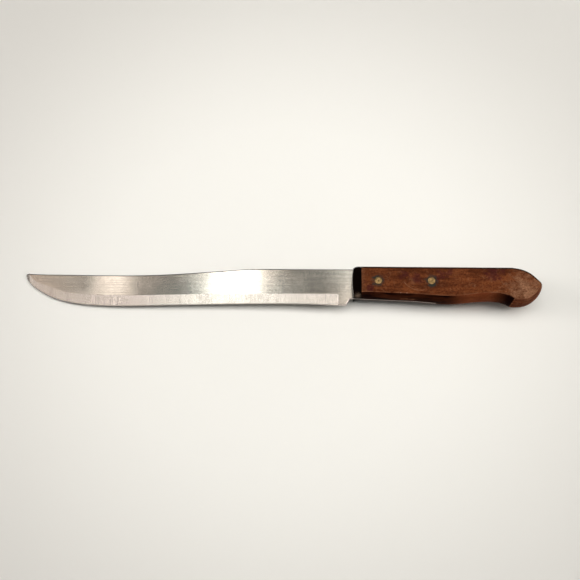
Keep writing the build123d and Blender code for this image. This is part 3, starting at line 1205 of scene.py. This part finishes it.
@dataclass
class Blade:
    """The ground blade and its tang, ruled between the outlines of the flat side and the edge."""

    grip: CrownedGrip
    length: float = 215.9
    half_stock: float = 0.8
    half_edge: float = 0.15
    ease: float = 0.7
    plain_ease: float = 0.75
    ease_turns: tuple[float, ...] = (0, 30, 60, 90)
    bevel_parts: tuple[float, ...] = (1 / 3, 2 / 3, 1.0)
    sharp_angle: float = 40.0
    spacing: float = 1.2
    rise: float = 9.9
    spine: tuple[Place, ...] = (
        (0.375, 0.880), (0.480, 0.705), (0.595, 0.550), (0.740, 0.492), (0.880, 0.520),
    )
    spine_start: Place = (-58.0, 9.9)
    tip_top: Place = (-213.9, 5.6)
    tip_front: Place = (-215.89, 4.6)
    flat_tip: Place = (-213.2, 4.5)
    edge_drop: float = 16.1
    edge: tuple[Place, ...] = (
        (0.9775, -0.155), (0.9537, -0.372), (0.9208, -0.607), (0.8550, -0.868), (0.7800, -0.975),
        (0.7050, -1.000), (0.5820, -0.958), (0.4000, -0.893), (0.2200, -0.857), (0.1350, -0.866),
    )
    bevel_drop: float = 8.8
    bevel: tuple[Place, ...] = (
        (0.9775, 0.218), (0.9487, -0.132), (0.9134, -0.463), (0.8530, -0.860), (0.7800, -0.975),
        (0.7050, -1.000), (0.5820, -0.950), (0.4000, -0.850), (0.2200, -0.803), (0.1350, -0.787),
    )
    plunge: tuple[Place, ...] = ((-10.65, -14.8), (-9.8, -14.8))
    corner: tuple[Place, ...] = ((-11.1, -6.926), (-9.4, -8.626))
    heel: tuple[Triple, ...] = (
        (-9.0, -14.5, 0.0), (-8.4, -14.5, 0.0), (-4.7, -14.5, 0.9), (-2.0, -10.1, 0.4),
        (0.0, -10.1, 0.0),
    )
    tang: tuple[Triple, ...] = ((60.0, -6.0, 5.0), (60.0, 9.9, 5.0), (-58.0, 9.9, 0.0))

    def along(self, shares: tuple[Place, ...], drop: float) -> list[Place]:
        """Finds places on the blade.

        Args:
            shares: Shares of its length and of a rise or drop.
            drop: That rise or drop, in mm.

        Returns:
            The places in mm.
        """
        return [(-x * self.length, y * drop) for x, y in shares]

    def stretches(self) -> list[tuple[Stretch, SmoothLine, SmoothLine]]:
        """Returns the stretches from spine to heel: finish, line on the flat, line at the edge."""
        way = (-1.0, 0.05)
        places = [self.spine_start, *self.along(self.spine, self.rise), self.tip_top]
        spine = SmoothLine(places, ((-1.0, 0.0), way))
        heel = self.heel[0][:2]
        bevel = self.along(self.bevel, self.bevel_drop)
        edge = self.along(self.edge, self.edge_drop)
        flat = (
            SmoothLine([self.tip_top, self.flat_tip], (way, (-0.5, -0.86))),
            SmoothLine([self.flat_tip, *bevel, self.corner[0]]),
            SmoothLine(self.corner, ((1.0, 0.0), (0.0, -1.0))),
            SmoothLine([self.corner[1], heel]),
        )
        rim = (
            SmoothLine([self.tip_top, self.tip_front], (way, (0.1, -1.0))),
            SmoothLine([self.tip_front, *edge, self.plunge[0]]),
            SmoothLine(self.plunge),
            SmoothLine([self.plunge[1], heel]),
        )
        finishes = (Stretch.NOSE, Stretch.GROUND, Stretch.GROUND, Stretch.GROUND)
        return [(Stretch.STAMPED, spine, spine), *zip(finishes, flat, rim)]

    @staticmethod
    def rounded(corners: list[Triple]) -> list[Place]:
        """Rounds the corners of a path.

        Args:
            corners: The corners, each with its radius, which is 0 at both ends.

        Returns:
            The path's points, without its last one.
        """
        path = []
        for i, (x, y, radius) in enumerate(corners[:-1]):
            here = Vector((x, y))
            if not radius:
                path.append(tuple(here))
                continue
            before = (here - Vector(corners[i - 1][:2])).normalized()
            after = (Vector(corners[i + 1][:2]) - here).normalized()
            reach = radius * math.tan(before.angle(after) / 2)
            ends = [tuple(here - before * reach), tuple(here + after * reach)]
            path += [tuple(p) for p in SmoothLine(ends, (tuple(before), tuple(after))).sample([6])]
            path.append(ends[1])
        return path

    def plain_path(self) -> list[Place]:
        """Returns the unground outline, from the heel round the tang to the spine's slope."""
        under = self.grip.lines(0)[1]
        end_x, end_y = self.tang[0][:2]
        slope = self.grip.tang_slope
        places = under.sample([6] * len(under.steps))
        flush = [tuple(p) for p in places if p[1] > end_y - (end_x - p[0]) * slope]
        tang = self.rounded([(*flush[-1], 0.0), *self.tang])
        return self.rounded(self.heel) + flush + tang[1:]

    def rings(self) -> tuple[np.ndarray, np.ndarray, np.ndarray, list[bool]]:
        """Samples both outlines, with their points opposite each other.

        Returns:
            The flat side's outline, the edge's, the share of easing and whether it is ground.
        """
        flat, edge, eased, ground = [], [], [], []
        for finish, upper, lower in self.stretches():
            counts = [max(4, round(step / self.spacing)) for step in lower.steps]
            flat.append(upper.sample(counts))
            edge.append(lower.sample(counts))
            eased.append(np.linspace(*finish.value, sum(counts)))
            ground += [finish is Stretch.GROUND] * sum(counts)
        plain = np.array(self.plain_path())
        shares = np.full(len(plain), self.plain_ease)
        shares[0] = 0.0
        rings = (np.concatenate(parts) for parts in ([*flat, plain], [*edge, plain]))
        return *rings, np.concatenate([*eased, shares]), ground + [False] * len(plain)

    def rows(self) -> tuple[list[np.ndarray], list[bool]]:
        """Works out the rows of points from the upper flat side round the rim to the lower one.

        Returns:
            The rows, and whether each point is ground.
        """
        flat, edge, eased, ground = self.rings()
        way = np.roll(flat, -1, axis=0) - np.roll(flat, 1, axis=0)
        way /= np.linalg.norm(way, axis=1)[:, None]
        inward = np.column_stack([-way[:, 1], way[:, 0]])
        reach = self.ease * eased
        levels = [
            (reach * (1 - math.sin(turn)), self.half_stock - reach * (1 - math.cos(turn)))
            for turn in np.radians(self.ease_turns)
        ]
        for part in self.bevel_parts:
            height = (self.half_stock - reach) * (1 - part) + self.half_edge * part
            levels.append((0 * reach, height))
        rows = []
        for inset, height in levels:
            down = (self.half_stock - height) / (self.half_stock - self.half_edge)
            place = flat + (edge - flat) * down[:, None] + inward * inset[:, None]
            rows.append(np.column_stack([place, height]))
        return rows + [row * (1, 1, -1) for row in reversed(rows)], ground

    def fill(self, mesh: bpy.types.Mesh) -> None:
        """Joins the rows into the blade's skin.

        Args:
            mesh: The empty mesh that gets it.
        """
        rows, ground = self.rows()
        shape = bmesh.new()
        lengthwise = shape.loops.layers.uv.new("lengthwise")
        points = [[shape.verts.new(place) for place in row] for row in rows]
        count = len(ground)
        last = len(rows) - 1
        bevel = range(len(self.ease_turns) - 1, last // 2)
        for ring in (points[0], points[-1]):
            shape.faces.new(ring)
        for band, (row, below) in enumerate(zip(points, points[1:])):
            from_flat = min(band, last - 1 - band)
            for i in range(count):
                j = (i + 1) % count
                face = shape.faces.new((row[i], row[j], below[j], below[i]))
                on_bevel = ground[i] and from_flat in bevel
                face.material_index = Surface.BEVEL if on_bevel else Surface.RIM
        bmesh.ops.remove_doubles(shape, verts=shape.verts, dist=TOUCHING)
        flats = [face for face in shape.faces if face.material_index == Surface.FLAT]
        bmesh.ops.triangulate(shape, faces=flats, ngon_method="BEAUTY")
        bmesh.ops.recalc_face_normals(shape, faces=shape.faces)
        for face in shape.faces:
            face.smooth = face.material_index != Surface.FLAT
            for loop in face.loops:
                loop[lengthwise].uv = loop.vert.co.xy / 100.0
        for edge in shape.edges:
            finishes = {face.material_index for face in edge.link_faces}
            steep = edge.calc_face_angle(0.0) > math.radians(self.sharp_angle)
            edge.smooth = not (steep or finishes == {Surface.FLAT, Surface.BEVEL})
        shape.to_mesh(mesh)
        shape.free()
        mesh.transform(LAY.matrix())

    def build(self) -> None:
        """Makes and dresses the blade: its flats, then its bevel, then its stamped edge."""
        mesh = bpy.data.meshes.new("ground_blade")
        flats = BrushedSteel("steel_brushed_along", Brushing.ALONG)
        bevel = BrushedSteel(
            "steel_ground_across", Brushing.ACROSS, "B3AEA6", "B6ACA4", 0.24, 0.35, point_tone=0.3
        )
        for finish in (flats, bevel, SawnSteel()):
            mesh.materials.append(finish.build())
        self.fill(mesh)
        piece = link_piece("ground_blade", mesh)
        true_flats(piece)
        finish_piece(piece, ["blade"])


# Rivets


@dataclass
class Rivets(Shaping):
    """Four brass rivet heads, sanded flush, each with the small dimple of its punch."""

    seat: float = 7.3
    head_radius: float = 2.38
    head_height: float = 1.2
    rim: float = 0.12
    dimple_radius: float = 0.7
    dimple_depth: float = 0.15
    shank_radius: float = 1.6
    shank_length: float = 6.0
    steps: int = 64

    def __post_init__(self) -> None:
        """Starts the nodes that shape the rivets."""
        super().__init__("rivet_heads", "Seat", "First Place", "Last Place")

    def profile(self) -> list[Place]:
        """Returns half of a rivet's outline, from the dimple's middle to the shank's end."""
        top = self.head_height
        return [
            (0, top - self.dimple_depth),
            (self.dimple_radius * 0.5, top - self.dimple_depth * 0.8),
            (self.dimple_radius * 0.85, top - self.dimple_depth * 0.25),
            (self.dimple_radius * 1.15, top),
            (self.head_radius - self.rim, top),
            (self.head_radius - self.rim * 0.3, top - self.rim * 0.3),
            (self.head_radius, top - self.rim),
            (self.head_radius, 0),
            (self.shank_radius, 0),
            (self.shank_radius, -self.shank_length),
            (0, -self.shank_length),
        ]

    def shape(self) -> None:
        """Adds the nodes that turn the half outline into a rivet and copy it to its places."""
        count = self.add("GeometryNodeAttributeDomainSize", [self.sizes["Geometry"]])
        grid, column, row = self.grid(self.steps + 1, count)
        angle = self.add(Op.PRODUCT, [column, math.tau / self.steps])
        on_profile = self.on_line(self.add("GeometryNodeInputPosition"), row)
        around = {"Vector": on_profile, "Angle": angle}
        turned = self.add("ShaderNodeVectorRotate", around, rotation_type="Z_AXIS")
        skin = self.add("GeometryNodeSetPosition", {"Geometry": grid, "Position": turned})
        rivet = self.add("GeometryNodeMergeByDistance", {"Geometry": skin, "Distance": TOUCHING})
        places = (self.sizes["First Place"], self.sizes["Last Place"])
        sides = []
        for side, turn in ((1.0, 0.0), (-1.0, math.pi)):
            points = self.rivet_points(self.sizes["Seat"], side, places)
            copied = {"Points": points, "Instance": rivet, "Rotation": (turn, 0, 0)}
            sides.append(self.add("GeometryNodeInstanceOnPoints", copied))
        self.close(self.add("GeometryNodeJoinGeometry", [sides]))

    def build(self) -> None:
        """Makes and dresses the rivets."""
        self.shape()
        mesh = bpy.data.meshes.new("rivet_profile")
        places = [(x, 0, z) for x, z in self.profile()]
        mesh.from_pydata(places, [(i, i + 1) for i in range(len(places) - 1)], [])
        first, last = RIVET_PLACES
        values = {
            "Seat": self.seat,
            "First Place": first,
            "Last Place": last,
            "Finish": TarnishedBrass().build(),
        }
        piece = self.run("rivets", mesh, values)
        shape = bmesh.new()
        shape.from_mesh(piece.data)
        bmesh.ops.recalc_face_normals(shape, faces=shape.faces)
        shape.to_mesh(piece.data)
        shape.free()
        lay_down(piece, 40)
        nodes = [f"{end}_rivet_{half}" for end in ("front", "rear") for half in ("tube", "pin")]
        finish_piece(piece, nodes)


# Stage


@dataclass(frozen=True)
class Panel:
    """A soft light panel, level over the table: its middle, its size and its strength."""

    name: str
    place: Triple
    size: Place
    radiance: float
    colour: str

    def build(self) -> None:
        """Hangs the panel."""
        light = bpy.data.lights.new(self.name, "AREA")
        light.shape = "RECTANGLE"
        light.size, light.size_y = self.size
        light.energy = self.radiance * math.pi * self.size[0] * self.size[1]
        light.color = linear(self.colour)[:3]
        link_piece(self.name, light).location = self.place


@dataclass
class Studio:
    """The plain pale table, the soft light and the camera."""

    table_width: float = 3.0
    target: Triple = (0.006131, -0.001322, 0.004987)
    camera_place: Triple = (0.006131, -0.15117, 0.51086)
    roll: float = 0.95
    lens: float = 50.0
    sensor: float = 36.0
    world: str = "F8F9F5"
    world_strength: float = 0.16
    panels: tuple[Panel, ...] = (
        Panel("right_panel", (0.983, 0.28, 1.4), (1.874, 1.0), 2.62, "FFFDF8"),
        Panel("right_end", (2.7, 0.28, 1.4), (1.2, 1.0), 14.0, "FFFDF8"),
        Panel("left_end", (-2.7, 0.28, 1.4), (1.2, 1.0), 13.0, "FFFAF6"),
        Panel("middle_strip", (-0.231, 0.40, 1.4), (0.100, 0.8), 8.2, "FFFEFA"),
        Panel("middle_glow", (-0.231, 0.40, 1.41), (0.28, 0.8), 0.25, "FFFEFA"),
        Panel("tip_strip", (-0.540, 0.28, 1.4), (0.054, 1.0), 4.7, "FFFDFA"),
        Panel("tip_wash", (-0.79, 0.26, 1.44), (0.26, 1.0), 0.9, "FFE4D4"),
        Panel("nose_wash", (-1.28, 0.26, 1.44), (0.66, 1.0), 0.95, "FFF4EC"),
        Panel("wide_wash", (-0.10, 0.40, 1.5), (2.8, 1.2), 0.18, "F8F9F5"),
    )

    def build(self) -> None:
        """Lays the table, hangs the lights and sets up the camera."""
        self.lay_table()
        for panel in self.panels:
            panel.build()
        self.light_world()
        bpy.context.scene.view_settings.view_transform = "Standard"
        self.place_camera()
        log.info("studio: %d light panels", len(self.panels))

    def lay_table(self) -> None:
        """Lays the table top under the knife."""
        shape = bmesh.new()
        bmesh.ops.create_grid(shape, x_segments=24, y_segments=24, size=self.table_width / 2)
        mesh = bpy.data.meshes.new("table_top")
        shape.to_mesh(mesh)
        shape.free()
        mesh.materials.append(PaleTable().build())
        link_piece("table_top", mesh)

    def light_world(self) -> None:
        """Sets the even light of the room."""
        world = bpy.data.worlds.new("room")
        world.use_nodes = True
        nodes = Nodes(world.node_tree)
        even = {"Color": linear(self.world), "Strength": self.world_strength}
        sky = nodes.add("ShaderNodeBackground", even)
        nodes.add("ShaderNodeOutputWorld", {"Surface": sky})
        bpy.context.scene.world = world

    def place_camera(self) -> None:
        """Points the camera as the photograph was taken."""
        view = bpy.data.cameras.new("camera")
        view.lens = self.lens
        view.sensor_width = self.sensor
        camera = link_piece("camera", view)
        way = Vector(self.target) - Vector(self.camera_place)
        turn = way.to_track_quat("-Z", "Y") @ Quaternion((0, 0, 1), math.radians(self.roll))
        camera.rotation_euler = turn.to_euler()
        camera.location = self.camera_place
        bpy.context.scene.camera = camera


def main() -> None:
    """Builds the knife on its table, one sub-assembly after the other."""
    logging.basicConfig(level=logging.INFO, format="%(name)s: %(message)s")
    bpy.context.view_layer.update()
    grip = CrownedGrip()
    Blade(grip).build()
    grip.build()
    Rivets().build()
    Studio().build()


if __name__ == "__main__":
    main()
